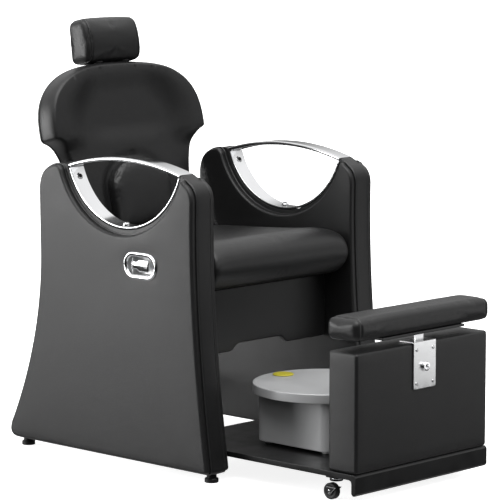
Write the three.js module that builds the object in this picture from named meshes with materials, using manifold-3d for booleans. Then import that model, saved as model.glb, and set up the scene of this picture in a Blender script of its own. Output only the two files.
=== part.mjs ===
// Reclining salon chair with upholstered side panels, chrome armrests, and a pull-out tray that
// carries a lidded foot basin and an upholstered footrest block.
//
// Units are millimetres and +Z is up. The sitter faces -Y, x = 0 is the middle plane and, inside
// this file, y = 0 is at the front levelling feet. At the end the whole group is shifted along Y
// so that its origin is at the bottom centre of its box.

import * as THREE from 'three';
import { mergeVertices } from 'three/addons/utils/BufferGeometryUtils.js';
import Module from 'manifold-3d';

const wasm = await Module();
wasm.setup();

// ---------------------------------------------------------------- driving dimensions

const GAP = 0.3;                     // clearance between pieces that rest on each other
const degrees = Math.PI / 180;

const halfWidth = 350;               // middle plane to the outer face of a side panel
const padThickness = 20;             // each upholstered pad of a side panel
const coreThickness = 50;            // frame board between the two pads
const panelFloor = 23;               // underside of a side panel
const padInset = 4;                  // a pad stops this far inside the core's outline
const bayHalf = halfWidth - coreThickness - 2 * padThickness;

const notch = { y: 295, z: 851, radius: 221 };   // round armrest notch in the core
const padNotchRadius = 236;
const bandThickness = 5.5;           // chrome lining of the notch
const bandGap = 1.3;                 // between the lining and the core's round cut-out
const rail = { radius: 750, thickness: 10.5, apex: 817, halfSpan: 210.6 };
const barWidth = 50;                 // width of both chrome bars

const footRadius = 18;
const feetY = [0, 700];
const footX = 305;

const handle = { y: 214, z: 543, length: 122, height: 71 };
const handleTravelPin = 34;          // paddle pin behind the handle's centre

const seat = { front: 20, rear: 518, bottom: 500, top: 600, half: 257 };
const seatBoard = { front: 119, rear: 515, bottom: 488, half: 250 };
const apron = { front: 116, thickness: 18, bottom: 301, top: 471 };

const pivot = { y: 560, z: 545 };    // recline axis, along X
const recline = 13 * degrees;        // backrest's lean at rest
const shaftRadius = 10;
const leverLength = 80;
const leverAngle = 22.5 * degrees;   // lever's angle behind vertical at rest
const springZ = 468;                 // height of the gas spring's axis

// backrest, in its own leaning frame: y is depth from the axis, z is height along the back
const back = { front: -13, wingFront: -33, cushionRear: 25, shellRear: 38, bottom: 18 };
const crown = { half: 290, height: 187, z: 315, power: 2.65 };
const lumbar = { half: 112, depth: 32, bottom: 35, shoulder: 146, top: 233 };
const post = { x: 50, y: 12, radius: 6 };
const headrest = { half: 104, bottom: 506, top: 624, rear: 66 };

const tray = { front: -450, rear: 226, half: 258, top: 75, thickness: 14, lip: 22 };
const block = { rear: -355, half: 256.5, top: 379 };
const plate = { half: 43, thickness: 3, bottom: 262 };
const clampZ = 318;
const bar = { front: -456, rear: -349, half: 264, bottom: 405.6, top: 464 };
const basin = { y: -117, half: 132, wall: 4, floor: 83, rim: 231.7 };
const lid = { radius: 190, top: 236.5, skirt: 212.5, field: 178 };

const wheel = { radius: 21, half: 9, bore: 3.3 };
const casterX = 239;
const frontCaster = { swivelY: -370, trail: 15 };
const rearCasterY = 190;

const boxCentreY = 144.055;          // middle of the whole object's box along Y

// ---------------------------------------------------------------- materials

const finish = (color, roughness, metalness) =>
  new THREE.MeshStandardMaterial({ color, roughness, metalness });
const leatherette = finish(0x1c1c1e, 0.45, 0);
const chrome = finish(0xe4e6e8, 0.12, 1);
const brushed = finish(0xc8c9cb, 0.35, 1);
const blackSteel = finish(0x161617, 0.4, 0.6);
const basinGrey = finish(0xa9abae, 0.4, 0.3);
const capYellow = finish(0xc9c02e, 0.45, 0);
const blackPlastic = finish(0x131314, 0.5, 0);
const tyreRubber = finish(0x0f0f10, 0.7, 0);
const boardWood = finish(0x9b7a52, 0.7, 0);
const satinSteel = finish(0xb9bbbe, 0.3, 1);

// ---------------------------------------------------------------- helpers

const unit = new THREE.Group();
unit.position.y = -boxCentreY;

const backrest = new THREE.Group();
backrest.position.set(0, pivot.y, pivot.z);
backrest.rotation.x = -recline;
unit.add(backrest);

function add(name, geometry, material, parent = unit) {
  const mesh = new THREE.Mesh(geometry, material);
  mesh.name = name;
  parent.add(mesh);
  return mesh;
}

// Keep only positions, share equal corners, and make every face point outwards.
function clean(geometry) {
  const bare = geometry.clone();
  bare.deleteAttribute('normal');
  bare.deleteAttribute('uv');
  const merged = mergeVertices(bare, 1e-4);
  const at = merged.attributes.position;
  const index = merged.index.array;
  const [a, b, c] = [new THREE.Vector3(), new THREE.Vector3(), new THREE.Vector3()];
  let volume = 0;
  for (let i = 0; i < index.length; i += 3) {
    a.fromBufferAttribute(at, index[i]);
    b.fromBufferAttribute(at, index[i + 1]);
    c.fromBufferAttribute(at, index[i + 2]);
    volume += a.dot(b.cross(c));
  }
  if (volume < 0) {
    for (let i = 0; i < index.length; i += 3) {
      [index[i], index[i + 1]] = [index[i + 1], index[i]];
    }
  }
  return merged;
}

function toSolid(geometry) {
  const merged = clean(geometry);
  const vertProperties = new Float32Array(merged.attributes.position.array);
  const triVerts = new Uint32Array(merged.index.array);
  return new wasm.Manifold(new wasm.Mesh({ numProp: 3, vertProperties, triVerts }));
}

function toGeometry(solid) {
  const mesh = solid.getMesh();
  const geometry = new THREE.BufferGeometry();
  geometry.setAttribute('position', new THREE.BufferAttribute(mesh.vertProperties, 3));
  geometry.setIndex(new THREE.BufferAttribute(mesh.triVerts, 1));
  return geometry;
}

function join(...geometries) {
  return toGeometry(geometries.map(toSolid).reduce((whole, next) => whole.add(next)));
}

function cut(geometry, ...tools) {
  return toGeometry(tools.map(toSolid).reduce((rest, tool) => rest.subtract(tool), toSolid(geometry)));
}

function box(x0, x1, y0, y1, z0, z1) {
  const geometry = new THREE.BoxGeometry(x1 - x0, y1 - y0, z1 - z0);
  return geometry.translate((x0 + x1) / 2, (y0 + y1) / 2, (z0 + z1) / 2);
}

function extrude(shape, depth, bevel, curveSegments) {
  return new THREE.ExtrudeGeometry(shape, {
    depth: depth - 2 * bevel,
    curveSegments,
    bevelEnabled: bevel > 0,
    bevelThickness: bevel,
    bevelSize: bevel,
    bevelOffset: -bevel,
    bevelSegments: 1,
  }).translate(0, 0, bevel);
}

// A shape drawn in (y, z), as a plate from x0 to x1.
function acrossX(shape, x0, x1, bevel = 0, curveSegments = 5) {
  const turn = new THREE.Matrix4().makeBasis(
    new THREE.Vector3(0, 1, 0), new THREE.Vector3(0, 0, 1), new THREE.Vector3(1, 0, 0));
  return clean(extrude(shape, x1 - x0, bevel, curveSegments).applyMatrix4(turn).translate(x0, 0, 0));
}

// A shape drawn in (x, z), as a plate from y0 to y1.
function acrossY(shape, y0, y1, bevel = 0, curveSegments = 5) {
  return clean(extrude(shape, y1 - y0, bevel, curveSegments).rotateX(Math.PI / 2).translate(0, y1, 0));
}

// A shape drawn in (x, y), as a plate from z0 to z1.
function acrossZ(shape, z0, z1, bevel = 0, curveSegments = 5) {
  return clean(extrude(shape, z1 - z0, bevel, curveSegments).translate(0, 0, z0));
}

function rectangle(x0, y0, x1, y1) {
  return new THREE.Shape([[x0, y0], [x1, y0], [x1, y1], [x0, y1]]
    .map(([x, y]) => new THREE.Vector2(x, y)));
}

function rounded(x0, y0, x1, y1, radius) {
  const shape = new THREE.Shape();
  shape.moveTo(x0 + radius, y0);
  shape.absarc(x1 - radius, y0 + radius, radius, -Math.PI / 2, 0, false);
  shape.absarc(x1 - radius, y1 - radius, radius, 0, Math.PI / 2, false);
  shape.absarc(x0 + radius, y1 - radius, radius, Math.PI / 2, Math.PI, false);
  shape.absarc(x0 + radius, y0 + radius, radius, Math.PI, 1.5 * Math.PI, false);
  return shape;
}

function stadium(x, y, length, height) {
  return rounded(x - length / 2, y - height / 2, x + length / 2, y + height / 2, height / 2 - 0.01);
}

function disc(x, y, radius) {
  return new THREE.Shape().absarc(x, y, radius, 0, 2 * Math.PI, false);
}

// A solid of revolution about +Z, +Y or +X from (radius, height) pairs.
function turned(profile, axis, segments = 16) {
  const points = profile.map(([radius, height]) => new THREE.Vector2(radius, height));
  const geometry = new THREE.LatheGeometry(points, segments);
  if (axis === 'z') geometry.rotateX(Math.PI / 2);
  if (axis === 'x') geometry.rotateZ(-Math.PI / 2);
  return clean(geometry);
}

const sides = [['right', -1], ['left', 1]];

// A plate between two distances from the middle plane, on the side with this sign.
function onSide(sign, shape, inner, outer, bevel, curveSegments) {
  const [x0, x1] = sign > 0 ? [inner, outer] : [-outer, -inner];
  return acrossX(shape, x0, x1, bevel, curveSegments);
}

// ---------------------------------------------------------------- side panels

// Outline in (y, z): straight foot, hollow rear edge, round rear shoulder, sloping front corner.
function panelOutline(inset, notchRadius) {
  const top = 785 - inset;
  const reach = Math.sqrt(notchRadius ** 2 - (notch.z - top) ** 2);
  const dip = Math.asin((notch.z - top) / notchRadius);
  const shape = new THREE.Shape();
  shape.moveTo(-12 + inset, panelFloor + inset);
  shape.lineTo(704 - inset, panelFloor + inset);
  shape.quadraticCurveTo(734 - inset, panelFloor + inset, 732 - inset, 58);
  shape.bezierCurveTo(662 - inset, 190, 599 - inset, 370, 603 - inset, 560);
  shape.lineTo(605 - inset, 700);
  shape.bezierCurveTo(608 - inset, 754 - inset, 586 - inset, 786 - inset, notch.y + reach + 12, top + 2);
  shape.lineTo(notch.y + reach, top);
  shape.absarc(notch.y, notch.z, notchRadius, -dip, -Math.PI + dip, true);
  shape.lineTo(54 + inset, 770 - inset);
  shape.quadraticCurveTo(26 + inset, 757 - inset, 25.5 + inset, 718);
  shape.bezierCurveTo(31 + inset, 460, 2 + inset, 230, -25 + inset, 38);
  shape.quadraticCurveTo(-27 + inset, panelFloor + inset, -12 + inset, panelFloor + inset);
  return shape;
}

function railShape(grow) {
  const centreZ = rail.apex - rail.radius;
  const half = Math.asin((rail.halfSpan + grow) / rail.radius);
  const shape = new THREE.Shape();
  shape.absarc(notch.y, centreZ, rail.radius + grow, Math.PI / 2 - half, Math.PI / 2 + half, false);
  const inner = rail.radius - rail.thickness - grow;
  shape.absarc(notch.y, centreZ, inner, Math.PI / 2 + half, Math.PI / 2 - half, true);
  return shape;
}

function bandShape() {
  const outer = notch.radius - bandGap;
  const end = Math.asin(75.2 / outer);
  const shape = new THREE.Shape();
  shape.absarc(notch.y, notch.z, outer, Math.PI + end, 2 * Math.PI - end, false);
  shape.absarc(notch.y, notch.z, outer - bandThickness, 2 * Math.PI - end, Math.PI + end, true);
  return shape;
}

function sidePanel(side, sign) {
  const inner = bayHalf + padThickness;
  const outer = inner + coreThickness;
  const middle = (inner + outer) / 2;
  const railCut = onSide(sign, railShape(0.4), inner - 1, outer + 1, 0, 12);
  let core = cut(onSide(sign, panelOutline(0, notch.radius), inner + GAP, outer - GAP, 0, 16), railCut);
  let outerPad = onSide(sign, panelOutline(padInset, padNotchRadius), outer, halfWidth, 5, 9);
  const innerPad = onSide(sign, panelOutline(padInset, padNotchRadius), bayHalf, inner, 5, 9);
  if (side === 'right') {
    const well = stadium(handle.y, handle.z, 108, 57);
    outerPad = cut(outerPad,
      acrossX(stadium(handle.y, handle.z, handle.length + 0.6, handle.height + 0.6),
        -halfWidth - 1, -halfWidth + 2.3),
      acrossX(well, -halfWidth + 1, -outer + 1));
    core = cut(core, acrossX(well, -outer - 1, -317.6));
  }
  add(`side_core_${side}`, core, leatherette);
  add(`outer_pad_${side}`, outerPad, leatherette);
  add(`inner_pad_${side}`, innerPad, leatherette);
  const [near, far] = [middle - barWidth / 2, middle + barWidth / 2];
  add(`notch_band_${side}`, onSide(sign, bandShape(), near, far, 0, 20), chrome);
  add(`arm_rail_${side}`, onSide(sign, railShape(0), near, far, 0, 12), chrome);
}

function levellingFoot(name, x, y) {
  const profile = [[0, 0], [footRadius, 0], [footRadius, 6], [footRadius - 3, 8], [6, 9], [6, 15],
    [9, 15], [9, panelFloor - GAP], [0, panelFloor - GAP]];
  add(name, turned(profile, 'z', 12), blackPlastic).position.set(x, y, 0);
}

// ---------------------------------------------------------------- recline handle

function reclineHandle() {
  const face = -halfWidth;
  const bezelShape = stadium(handle.y, handle.z, handle.length, handle.height);
  bezelShape.holes.push(stadium(handle.y, handle.z, 97, 46));
  add('handle_bezel', acrossX(bezelShape, face, face + 2, 0, 5), chrome);

  const cup = cut(acrossX(stadium(handle.y, handle.z, 107, 56), face + 2.6, face + 32, 0, 5),
    acrossX(stadium(handle.y, handle.z, 103, 52), face + 1, face + 30, 0, 5));
  add('handle_cup', cup, satinSteel);

  const pinX = face + 10;
  const pinY = handle.y + handleTravelPin;
  const tee = new THREE.Shape();
  tee.moveTo(pinY, handle.z - 10);
  tee.lineTo(pinY, handle.z + 10);
  tee.lineTo(handle.y + 12, handle.z + 10);
  tee.lineTo(handle.y + 12, handle.z + 17);
  tee.lineTo(handle.y - 28, handle.z + 17);
  tee.lineTo(handle.y - 28, handle.z - 17);
  tee.lineTo(handle.y + 12, handle.z - 17);
  tee.lineTo(handle.y + 12, handle.z - 10);
  const barrel = turned([[0, -10], [5.5, -10], [5.5, 10], [0, 10]], 'z', 16)
    .translate(pinX, pinY, handle.z);
  const bore = turned([[0, -12], [2.8, -12], [2.8, 12], [0, 12]], 'z', 16)
    .translate(pinX, pinY, handle.z);
  add('handle_paddle', cut(join(acrossX(tee, face + 5, face + 10), barrel), bore), chrome);
  add('paddle_pin', turned([[0, -22], [2.5, -22], [2.5, 22], [0, 22]], 'z', 12), satinSteel)
    .position.set(pinX, pinY, handle.z);
}

// ---------------------------------------------------------------- seat and base frame

// Profile in (y, z): flat underside, tall rounded front roll, top that falls towards the back.
function seatCushion() {
  const shape = new THREE.Shape();
  shape.moveTo(seat.rear, seat.bottom + GAP);
  shape.lineTo(seat.rear, 556);
  shape.quadraticCurveTo(seat.rear - 2, 574, seat.rear - 24, 576);
  shape.bezierCurveTo(380, 582, 230, 590, 150, 597);
  shape.bezierCurveTo(110, seat.top + 1, 74, seat.top + 2, 54, 594);
  shape.quadraticCurveTo(seat.front + 5, 583, seat.front, 545);
  shape.bezierCurveTo(seat.front, 496, 60, 476, 113, 474);
  shape.lineTo(118, 482);
  shape.lineTo(118, seat.bottom + GAP);
  add('seat_cushion', acrossX(shape, -seat.half, seat.half, 10, 8), leatherette);
}

function frontApron() {
  const shape = new THREE.Shape();
  const half = bayHalf - 0.5;
  shape.moveTo(-half, apron.bottom);
  shape.lineTo(-106, apron.bottom);
  shape.lineTo(-85, apron.bottom + 19);
  shape.lineTo(85, apron.bottom + 19);
  shape.lineTo(106, apron.bottom);
  shape.lineTo(half, apron.bottom);
  shape.lineTo(half, apron.top);
  shape.lineTo(-half, apron.top);
  add('front_apron', acrossY(shape, apron.front, apron.front + apron.thickness), leatherette);
}

// A square steel tube right across the bay.
function crossTube(name, y0, y1, z0, z1) {
  const wall = 2.5;
  const shape = rectangle(y0, z0, y1, z1);
  shape.holes.push(rectangle(y0 + wall, z0 + wall, y1 - wall, z1 - wall));
  add(name, acrossX(shape, -bayHalf + GAP, bayHalf - GAP), blackSteel);
}

function baseFrame() {
  const under = seatBoard.bottom - GAP;
  add('seat_board', box(-seatBoard.half, seatBoard.half, seatBoard.front, seatBoard.rear,
    seatBoard.bottom, seat.bottom), boardWood);
  crossTube('front_cross_tube', apron.front + apron.thickness + GAP, 172, 448, under);
  crossTube('middle_cross_tube', 240, 270, 448, under);
  crossTube('rear_cross_tube', 520, 560, 400, 440);
  crossTube('lower_cross_tube', 645, 675, 120, 150);
}

// ---------------------------------------------------------------- recline mechanism

function reclineBearing(side, sign) {
  const shape = rounded(pivot.y - 38, pivot.z - 32, pivot.y + 26, pivot.z + 32, 12);
  shape.holes.push(disc(pivot.y, pivot.z, shaftRadius + 0.4));
  add(`recline_bearing_${side}`, onSide(sign, shape, bayHalf - 12, bayHalf - GAP, 0, 10), blackSteel);
}

// Shaft, two gusset ears, two uprights, a top bar and the lever that the gas spring pushes on.
function backrestFrame() {
  const shaft = turned([[0, -256], [shaftRadius, -256], [shaftRadius, 256], [0, 256]], 'x', 24);
  const front = back.cushionRear - 5.7;
  const parts = [shaft, box(-140, 140, front, back.cushionRear, 290, 330)];
  for (const x of [-120, 120]) {
    parts.push(box(x - 3, x + 3, -9, back.cushionRear, -9, back.bottom - 1.5));
    parts.push(box(x - 20, x + 20, front, back.cushionRear, -9, 300));
  }
  const angle = leverAngle + recline;
  const tip = [leverLength * Math.sin(angle), -leverLength * Math.cos(angle)];
  const arm = rounded(-12, -leverLength - 12, 12, 12, 11.9);
  parts.push(acrossX(arm, -3, 3, 0, 6).rotateX(angle));
  parts.push(turned([[0, -12], [5, -12], [5, 12], [0, 12]], 'x', 16).translate(0, tip[0], tip[1]));
  add('backrest_frame', join(...parts), blackSteel, backrest);
}

function gasSpring() {
  const pinY = pivot.y + leverLength * Math.sin(leverAngle);
  const tube = turned([[0, 550], [5.6, 550], [5.6, 400], [14, 400], [14, 566], [0, 566]], 'y', 20)
    .translate(0, 0, springZ);
  const parts = [tube];
  for (const x of [-9, 4]) parts.push(box(x, x + 5, 556, pinY + 13, springZ - 13, springZ + 13));
  const eye = turned([[0, -12], [9, -12], [9, 12], [0, 12]], 'x', 20).translate(0, pinY, springZ);
  add('gas_spring_tube', cut(join(...parts), eye), blackSteel);
  add('gas_spring_rod', turned([[0, 300 + GAP], [5, 300 + GAP], [5, 480], [0, 480]], 'y', 16),
    satinSteel).position.z = springZ;
  add('release_head', box(-20, 20, 270 + GAP, 300, springZ - 15, springZ + 15), blackPlastic);
}

// The sheathed release cable, from the right panel's inner face to the gas spring's head.
function releaseCable() {
  const route = new THREE.CatmullRomCurve3([
    new THREE.Vector3(-bayHalf + 0.5, 288, springZ),
    new THREE.Vector3(-225, 288, springZ - 2),
    new THREE.Vector3(-150, 292, springZ - 12),
    new THREE.Vector3(-80, 288, springZ - 8),
    new THREE.Vector3(-45, 285, springZ),
    new THREE.Vector3(-20 - GAP, 285, springZ),
  ]);
  const section = new THREE.Shape().absarc(0, 0, 3, 0, 2 * Math.PI, false);
  const tube = new THREE.ExtrudeGeometry(section, { steps: 20, curveSegments: 4, extrudePath: route });
  add('release_cable', clean(tube), blackPlastic);
}

// ---------------------------------------------------------------- backrest and headrest

// Half outline of the back, bottom to top: straight waist, hollow under the wing, domed crown.
function backOutline(inset) {
  const steps = 10;
  const right = [];
  for (let i = 0; i <= steps; i += 1) {
    const t = (i / steps) * Math.PI / 2;
    const x = (crown.half - inset) * Math.cos(t) ** (2 / crown.power);
    const z = crown.z + (crown.height - inset) * Math.sin(t) ** (2 / crown.power);
    right.push([x, z]);
  }
  const shape = new THREE.Shape();
  const draw = (sign) => {
    if (sign > 0) {
      shape.moveTo(0, back.bottom + inset);
      shape.lineTo(186, back.bottom + inset);
      shape.quadraticCurveTo(214 - inset, back.bottom + inset, 215 - inset, back.bottom + 30);
      shape.lineTo(218 - inset, 175);
      shape.bezierCurveTo(230 - inset, 250, 250 - inset, 288 + inset, 289 - inset, 296 + inset);
      right.forEach(([x, z]) => shape.lineTo(x, z));
    } else {
      right.slice(0, -1).reverse().forEach(([x, z]) => shape.lineTo(-x, z));
      shape.lineTo(-289 + inset, 296 + inset);
      shape.bezierCurveTo(-250 + inset, 288 + inset, -230 + inset, 250, -218 + inset, 175);
      shape.lineTo(-215 + inset, back.bottom + 30);
      shape.quadraticCurveTo(-214 + inset, back.bottom + inset, -186, back.bottom + inset);
    }
  };
  draw(1);
  draw(-1);
  return shape;
}

function backrestPads() {
  const slots = [box(-141, 141, back.cushionRear - 6.2, back.cushionRear + 1, 289, 331)];
  for (const sign of [-1, 1]) {
    const x = sign * 120;
    slots.push(box(x - 21, x + 21, back.cushionRear - 6.2, back.cushionRear + 1, 0, 300));
    const bore = [[0, 385], [6.8, 385], [6.8, 438], [11.5, 438], [11.5, 530], [0, 530]];
    slots.push(turned(bore, 'z', 16).translate(sign * post.x, post.y, 0));
  }
  const thin = acrossY(backOutline(0), back.front, back.cushionRear, 9, 8);
  const thick = acrossY(backOutline(0), back.wingFront, back.cushionRear, 9, 8);
  const wings = [-1, 1].map((sign) => {
    const [x0, x1] = sign > 0 ? [200, 300] : [-300, -200];
    return toGeometry(toSolid(thick).intersect(toSolid(box(x0, x1, -50, 50, 270, 450))));
  });
  const cushion = join(thin, ...wings);
  add('backrest_cushion', cut(cushion, ...slots), leatherette, backrest);
  add('backrest_shell', acrossY(backOutline(3), back.cushionRear + 0.4, back.shellRear, 5, 8),
    leatherette, backrest);

  const arch = new THREE.Shape();
  arch.moveTo(-lumbar.half + 20, lumbar.bottom);
  arch.lineTo(lumbar.half - 20, lumbar.bottom);
  arch.quadraticCurveTo(lumbar.half, lumbar.bottom, lumbar.half, lumbar.bottom + 30);
  arch.lineTo(lumbar.half, lumbar.shoulder);
  arch.absellipse(0, lumbar.shoulder, lumbar.half, lumbar.top - lumbar.shoulder, 0, Math.PI, false);
  arch.lineTo(-lumbar.half, lumbar.bottom + 30);
  arch.quadraticCurveTo(-lumbar.half, lumbar.bottom, -lumbar.half + 20, lumbar.bottom);
  const front = back.front - GAP - lumbar.depth;
  add('lumbar_cushion', acrossY(arch, front, back.front - GAP, 10, 10), leatherette, backrest);
}

function headrestPieces() {
  const seatZ = crown.z + crown.height + GAP;
  const shape = new THREE.Shape();
  shape.moveTo(0, headrest.bottom);
  shape.lineTo(headrest.rear - 20, headrest.bottom);
  shape.quadraticCurveTo(headrest.rear, headrest.bottom, headrest.rear - 1, headrest.bottom + 20);
  shape.lineTo(headrest.rear - 11, headrest.top - 22);
  shape.quadraticCurveTo(headrest.rear - 13, headrest.top, headrest.rear - 33, headrest.top);
  shape.lineTo(6, headrest.top);
  shape.bezierCurveTo(-28, headrest.top - 6, -28, headrest.bottom + 10, 0, headrest.bottom);
  const holes = [];
  for (const [side, sign] of sides) {
    const x = sign * post.x;
    holes.push(turned([[0, 500], [6.5, 500], [6.5, 581], [0, 581]], 'z', 16)
      .translate(x, post.y, 0));
    add(`headrest_post_${side}`, turned([[0, 400], [post.radius, 400], [post.radius, 580], [0, 580]],
      'z', 16), satinSteel, backrest).position.set(x, post.y, 0);
    const sleeve = [[post.radius + 0.4, 440], [11, 440], [11, seatZ], [15, seatZ],
      [15, headrest.bottom - 0.7], [post.radius + 0.4, headrest.bottom - 0.7],
      [post.radius + 0.4, 440]];
    add(`headrest_sleeve_${side}`, turned(sleeve, 'z', 16), blackPlastic, backrest)
      .position.set(x, post.y, 0);
  }
  const pad = acrossX(shape, -headrest.half, headrest.half, 7, 7);
  add('headrest_cushion', cut(pad, ...holes), leatherette, backrest);
}

// ---------------------------------------------------------------- pull-out tray

function trayPlatform() {
  const under = tray.top - tray.thickness;
  const inside = tray.front + 15;
  const shape = new THREE.Shape();
  shape.moveTo(tray.front, tray.lip);
  shape.lineTo(inside, tray.lip);
  shape.lineTo(inside, under - 10);
  shape.quadraticCurveTo(inside, under, inside + 10, under);
  shape.lineTo(tray.rear, under);
  shape.lineTo(tray.rear, tray.top);
  shape.lineTo(tray.front, tray.top);
  add('tray_platform', acrossX(shape, -tray.half, tray.half, 0, 6), blackSteel);
}

function footrestBlock() {
  const body = acrossZ(rounded(-block.half, tray.front, block.half, block.rear, 13),
    tray.top + GAP, block.top, 5, 4);
  const pocket = box(-17, 17, -441, -422, 208, block.top + 1);
  const boltHole = box(-8, 8, tray.front - 1, -440, clampZ - 8, clampZ + 8);
  add('footrest_block', cut(body, pocket, boltHole), leatherette);
}

function barSupport() {
  const faceY = tray.front - GAP;
  const top = block.top + GAP + plate.thickness;
  const flange = box(-plate.half, plate.half, faceY - plate.thickness, -406, block.top + GAP, top);
  const front = box(-plate.half, plate.half, faceY - plate.thickness, faceY, plate.bottom, top);
  const slot = box(-15.8, 15.8, -436, -429, block.top - 1, top + 1);
  const hole = turned([[0, -460], [4.6, -460], [4.6, -440], [0, -440]], 'y', 16)
    .translate(0, 0, clampZ);
  add('bracket_plate', cut(join(flange, front), slot, hole), brushed);

  const blade = rounded(-15, 240, 15, 403, 2);
  blade.holes.push(rounded(-4.7, 252, 4.7, 346, 4.6));
  const head = box(-60, 60, -440, -360, 402, bar.bottom - GAP);
  add('bar_post', join(acrossY(blade, -435, -430, 0, 6), head), brushed);

  const knob = [[0, faceY - 11], [12, faceY - 11], [12, faceY - plate.thickness - GAP],
    [4, faceY - plate.thickness - GAP], [4, -424], [0, -424]];
  add('clamp_bolt', turned(knob, 'y', 18), chrome).position.z = clampZ;

  const section = rounded(bar.front, bar.bottom, bar.rear, bar.top, 15);
  add('bar_cushion', acrossX(section, -bar.half, bar.half, 10, 5), leatherette);
}

function footBasin() {
  const outer = rounded(-basin.half, -basin.half, basin.half, basin.half, 34);
  const innerHalf = basin.half - basin.wall;
  const inner = rounded(-innerHalf, -innerHalf, innerHalf, innerHalf, 30);
  const parts = [acrossZ(outer, basin.floor, basin.rim, 0, 5)];
  for (const x of [-100, 100]) {
    for (const y of [-100, 100]) {
      const foot = [[0, tray.top + GAP], [16, tray.top + GAP], [16, basin.floor + 1],
        [0, basin.floor + 1]];
      parts.push(turned(foot, 'z', 16).translate(x, y, 0));
    }
  }
  const tub = cut(join(...parts), acrossZ(inner, basin.floor + basin.wall, basin.rim + 1, 0, 5));
  add('basin_tub', tub, basinGrey).position.y = basin.y;

  const under = basin.rim + GAP;
  const field = lid.top - 1.5;
  const profile = [[0, under], [lid.radius - 4, under], [lid.radius - 4, lid.skirt],
    [lid.radius, lid.skirt], [lid.radius, lid.top - 2], [lid.radius - 2, lid.top],
    [lid.field + 2, lid.top], [lid.field, field], [0, field]];
  add('basin_lid', turned(profile, 'z', 48), basinGrey).position.y = basin.y;
  const cap = [[0, field + GAP], [28, field + GAP], [28, field + 3], [24, field + 5], [0, field + 5]];
  add('lid_cap', turned(cap, 'z', 20), capYellow).position.set(0, basin.y + 150, 0);
}

// ---------------------------------------------------------------- casters

function casterWheel(name, x, y) {
  const { radius, half, bore } = wheel;
  const profile = [[bore, -half], [radius - 3, -half], [radius, -half + 3], [radius, half - 3],
    [radius - 3, half], [bore, half], [bore, -half]];
  add(name, turned(profile, 'x', 18), tyreRubber).position.set(x, y, radius);
}

// Two cheeks and the axle, in the wheel's own frame with the axle at the origin.
function forkParts(top, reach) {
  const cheek = new THREE.Shape();
  cheek.moveTo(6, -4);
  cheek.lineTo(9, 12);
  cheek.lineTo(9, top);
  cheek.lineTo(-reach, top);
  cheek.lineTo(-6, -4);
  cheek.quadraticCurveTo(0, -10, 6, -4);
  return [
    acrossX(cheek, -12.5, -10, 0, 4),
    acrossX(cheek, 10, 12.5, 0, 4),
    turned([[0, -12.4], [3, -12.4], [3, 12.4], [0, 12.4]], 'x', 12),
  ];
}

function swivelCaster(side, sign) {
  const x = sign * casterX;
  const y = frontCaster.swivelY;
  const under = tray.top - tray.thickness;
  const mount = acrossZ(rounded(-20, -20, 20, 20, 4), under - 2 - GAP, under - GAP, 0, 3);
  const stemHole = turned([[0, 50], [5.5, 50], [5.5, 70], [0, 70]], 'z', 16);
  add(`caster_plate_${side}`, cut(mount, stemHole), chrome).position.set(x, y, 0);

  const top = under - 2 - 2 * GAP;
  const race = turned([[0, top - 8], [17, top - 8], [17, top - 3], [13, top], [5, top],
    [5, top + 2], [0, top + 2]], 'z', 20).translate(0, -frontCaster.trail, -wheel.radius);
  const fork = join(...forkParts(top - wheel.radius - 5, 22), race);
  add(`caster_fork_${side}`, fork, chrome).position.set(x, y + frontCaster.trail, wheel.radius);
  casterWheel(`front_wheel_${side}`, x, y + frontCaster.trail);
}

function fixedCaster(side, sign) {
  const x = sign * casterX;
  const top = tray.top - tray.thickness - GAP - wheel.radius;
  const mount = acrossZ(rounded(-13, -20, 13, 20, 4), top - 2.5, top, 0, 3);
  const fork = join(...forkParts(top - 1, 9), mount);
  add(`rear_fork_${side}`, fork, chrome).position.set(x, rearCasterY, wheel.radius);
  casterWheel(`rear_wheel_${side}`, x, rearCasterY);
}

// ---------------------------------------------------------------- assembly

for (const [side, sign] of sides) {
  sidePanel(side, sign);
  levellingFoot(`front_foot_${side}`, sign * footX, feetY[0]);
  levellingFoot(`rear_foot_${side}`, sign * footX, feetY[1]);
  reclineBearing(side, sign);
  swivelCaster(side, sign);
  fixedCaster(side, sign);
}
reclineHandle();
seatCushion();
frontApron();
baseFrame();
backrestFrame();
gasSpring();
releaseCable();
backrestPads();
headrestPieces();
trayPlatform();
footrestBlock();
barSupport();
footBasin();

export default unit;
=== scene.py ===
import bpy
import bmesh
import math
import numpy as np
from mathutils import Matrix, Vector
from mathutils.bvhtree import BVHTree
from mathutils.geometry import delaunay_2d_cdt


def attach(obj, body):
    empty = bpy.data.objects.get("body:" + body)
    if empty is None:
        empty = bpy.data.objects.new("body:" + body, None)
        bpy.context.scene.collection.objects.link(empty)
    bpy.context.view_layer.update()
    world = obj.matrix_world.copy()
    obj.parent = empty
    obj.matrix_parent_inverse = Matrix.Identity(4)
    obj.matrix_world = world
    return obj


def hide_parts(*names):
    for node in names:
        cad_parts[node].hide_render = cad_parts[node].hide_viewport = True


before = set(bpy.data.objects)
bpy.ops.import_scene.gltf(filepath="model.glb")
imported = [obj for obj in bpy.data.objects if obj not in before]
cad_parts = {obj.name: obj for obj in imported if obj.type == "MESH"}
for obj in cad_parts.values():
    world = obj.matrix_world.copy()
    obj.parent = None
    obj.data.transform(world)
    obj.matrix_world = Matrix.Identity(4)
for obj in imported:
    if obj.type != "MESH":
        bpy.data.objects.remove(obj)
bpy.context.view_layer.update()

MM = 0.001
Y0 = 0.144055                       # the record's Y zero, measured from the front levelling feet
LEAN = math.radians(13)
PIVOT = (560, 545)
SIDES = (("right", -1), ("left", 1))
NOTCH = (295, 851)                  # centre of the round armrest notches, y and z
HANDLE = (214, 543)                 # centre of the recline handle, y and z
PANEL_MID = 305                     # middle of a side panel's thickness, from the centre plane
WHEEL = 21                          # radius of the caster wheels


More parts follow.
